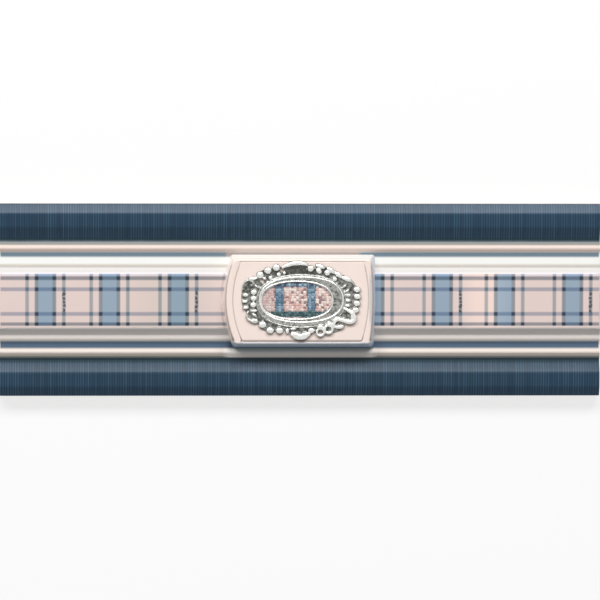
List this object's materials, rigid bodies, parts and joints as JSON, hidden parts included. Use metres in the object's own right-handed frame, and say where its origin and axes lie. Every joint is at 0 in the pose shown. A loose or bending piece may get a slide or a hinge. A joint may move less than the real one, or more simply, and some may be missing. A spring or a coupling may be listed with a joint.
{
  "type": "victorian border tile",
  "caption": "Glazed relief border tile: ribbed blue bands, pale mouldings and a plaid field with a raised oval medallion plaque.",
  "frame": {"origin": "middle of the flat back face", "axes": "+X along the border, +Y across it, +Z out of the decorated face"},
  "size_m": [0.25, 0.08, 0.0159],
  "materials": {
    "glazed_body": "gloss glaze",
    "blue_glaze": "gloss glaze over fine ribs",
    "biscuit": "unglazed, matt",
    "silver_lustre": "silver lustre over relief"
  },
  "bodies": {
    "root": {"border_tile": "glazed_body"}
  },
  "joints": []
}
